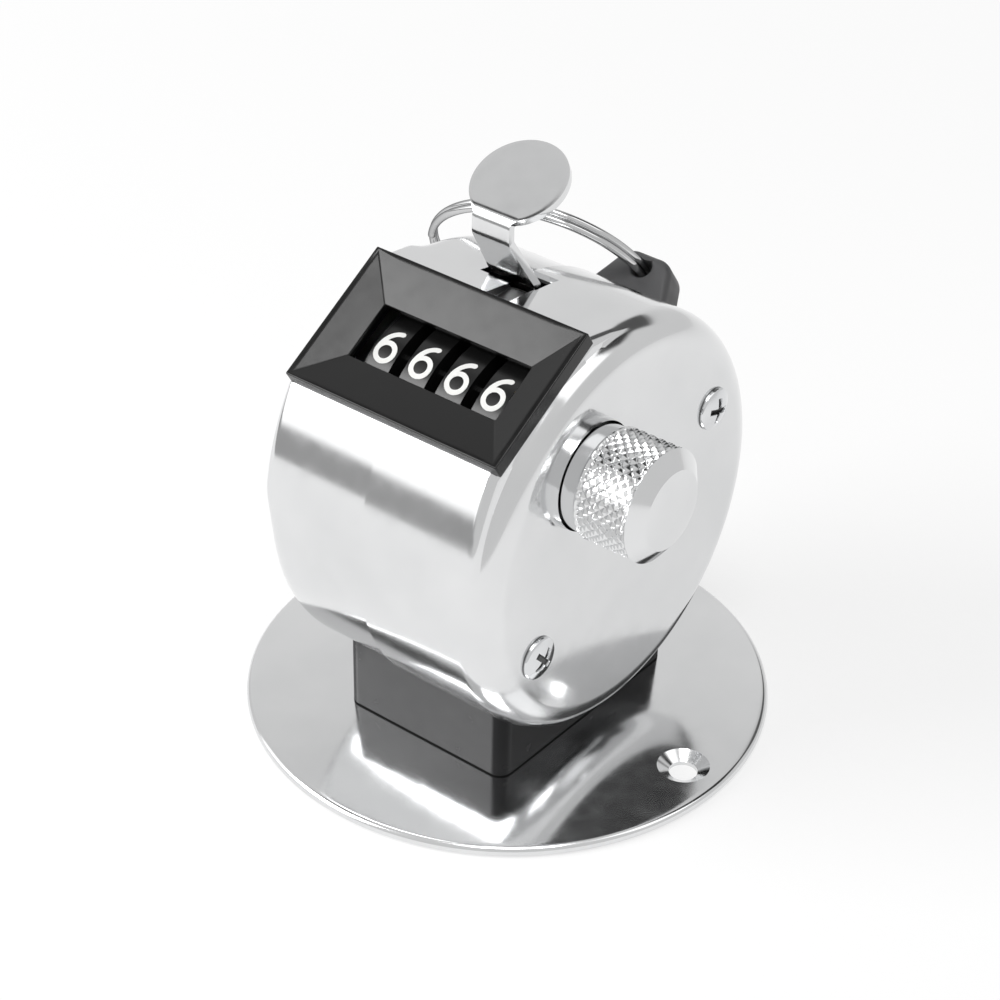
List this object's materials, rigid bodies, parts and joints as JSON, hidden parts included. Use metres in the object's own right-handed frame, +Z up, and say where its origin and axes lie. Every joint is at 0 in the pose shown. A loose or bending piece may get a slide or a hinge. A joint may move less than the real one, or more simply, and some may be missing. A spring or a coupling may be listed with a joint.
{
  "type": "tally counter",
  "caption": "Desk tally counter: chrome drum on a round screw-down base, number wheels behind a black bezel, thumb lever, knurled reset knob and finger ring.",
  "frame": {"origin": "centre of the base plate's underside", "axes": "+Z up, -Y towards the reader in front of the number window, +X towards the reset knob"},
  "size_m": [0.056, 0.056, 0.0621],
  "materials": {
    "plate_chrome": "bright chrome on pressed steel",
    "shell_chrome": "bright chrome on drawn steel",
    "knob_chrome": "turned and knurled, bright chrome",
    "lever_chrome": "bright chrome on bent sheet",
    "ring_chrome": "nickel plated spring wire",
    "screw_steel": "bright zinc",
    "frame_steel": "plain steel",
    "spring_steel": "blued spring steel",
    "brass": "turned brass",
    "wheel_black": "satin black with white numbers",
    "bezel_black": "satin black moulding",
    "black_moulding": "fine matt black moulding"
  },
  "bodies": {
    "counter_body": {"base_plate": "plate_chrome", "plinth": "black_moulding", "base_screws": "screw_steel", "nut_bar": "frame_steel", "left_shell": "shell_chrome", "right_shell": "shell_chrome", "cover_screws": "screw_steel", "bezel": "bezel_black", "left_frame": "frame_steel", "right_frame": "frame_steel", "tie_posts": "frame_steel", "shaft_bushes": "brass", "pinion_rod": "frame_steel", "detent_leaf": "spring_steel", "return_leaf": "spring_steel", "ring_lug": "black_moulding"},
    "reset": {"reset_shaft": "frame_steel", "shaft_clip": "spring_steel", "reset_knob": "knob_chrome"},
    "units": {"units_wheel": "wheel_black", "units_catch": "spring_steel", "units_ratchet": "brass"},
    "tens": {"tens_wheel": "wheel_black", "tens_catch": "spring_steel"},
    "hundreds": {"hundreds_wheel": "wheel_black", "hundreds_catch": "spring_steel"},
    "thousands": {"thousands_wheel": "wheel_black", "thousands_catch": "spring_steel"},
    "tens_idler": {"tens_pinion": "brass"},
    "hundreds_idler": {"hundreds_pinion": "brass"},
    "thousands_idler": {"thousands_pinion": "brass"},
    "lever": {"thumb_lever": "lever_chrome", "pawl_pin": "frame_steel"},
    "pawl": {"drive_pawl": "brass"},
    "ring": {"finger_ring": "ring_chrome"}
  },
  "joints": [
    {"name": "reset_turn", "type": "hinge", "parent": "counter_body", "child": "reset", "pos_m": [0, -0.0058, 0.03631], "axis": [1, 0, 0], "continuous": true},
    {"name": "units_turn", "type": "hinge", "parent": "counter_body", "child": "units", "pos_m": [0, -0.0058, 0.03631], "axis": [1, 0, 0], "continuous": true},
    {"name": "tens_turn", "type": "hinge", "parent": "counter_body", "child": "tens", "pos_m": [0, -0.0058, 0.03631], "axis": [1, 0, 0], "continuous": true},
    {"name": "hundreds_turn", "type": "hinge", "parent": "counter_body", "child": "hundreds", "pos_m": [0, -0.0058, 0.03631], "axis": [1, 0, 0], "continuous": true},
    {"name": "thousands_turn", "type": "hinge", "parent": "counter_body", "child": "thousands", "pos_m": [0, -0.0058, 0.03631], "axis": [1, 0, 0], "continuous": true},
    {"name": "tens_idler_turn", "type": "hinge", "parent": "counter_body", "child": "tens_idler", "pos_m": [0, -0.0002, 0.02661], "axis": [1, 0, 0], "continuous": true},
    {"name": "hundreds_idler_turn", "type": "hinge", "parent": "counter_body", "child": "hundreds_idler", "pos_m": [0, -0.0002, 0.02661], "axis": [1, 0, 0], "continuous": true},
    {"name": "thousands_idler_turn", "type": "hinge", "parent": "counter_body", "child": "thousands_idler", "pos_m": [0, -0.0002, 0.02661], "axis": [1, 0, 0], "continuous": true},
    {"name": "lever_press", "type": "hinge", "parent": "counter_body", "child": "lever", "pos_m": [0, -0.0058, 0.03631], "axis": [-1, 0, 0], "range_deg": [0, 10], "stiffness_Nm_per_rad": 0.15, "springref_deg": -17.19, "deforming": ["return_leaf"]},
    {"name": "pawl_lift", "type": "hinge", "parent": "lever", "child": "pawl", "pos_m": [0, 0.0007, 0.04282], "axis": [1, 0, 0], "range_deg": [0, 10], "stiffness_Nm_per_rad": 0.002, "springref_deg": -17.19},
    {"name": "ring_swing", "type": "hinge", "parent": "counter_body", "child": "ring", "pos_m": [0.0008, 0.02126, 0.04146], "axis": [0, 0.5664, -0.8241], "range_deg": [-5, 212]}
  ],
  "couplings": [
    {"joint": "tens_idler_turn", "follows": "tens_turn", "ratio": -2.5},
    {"joint": "hundreds_idler_turn", "follows": "hundreds_turn", "ratio": -2.5},
    {"joint": "thousands_idler_turn", "follows": "thousands_turn", "ratio": -2.5}
  ]
}
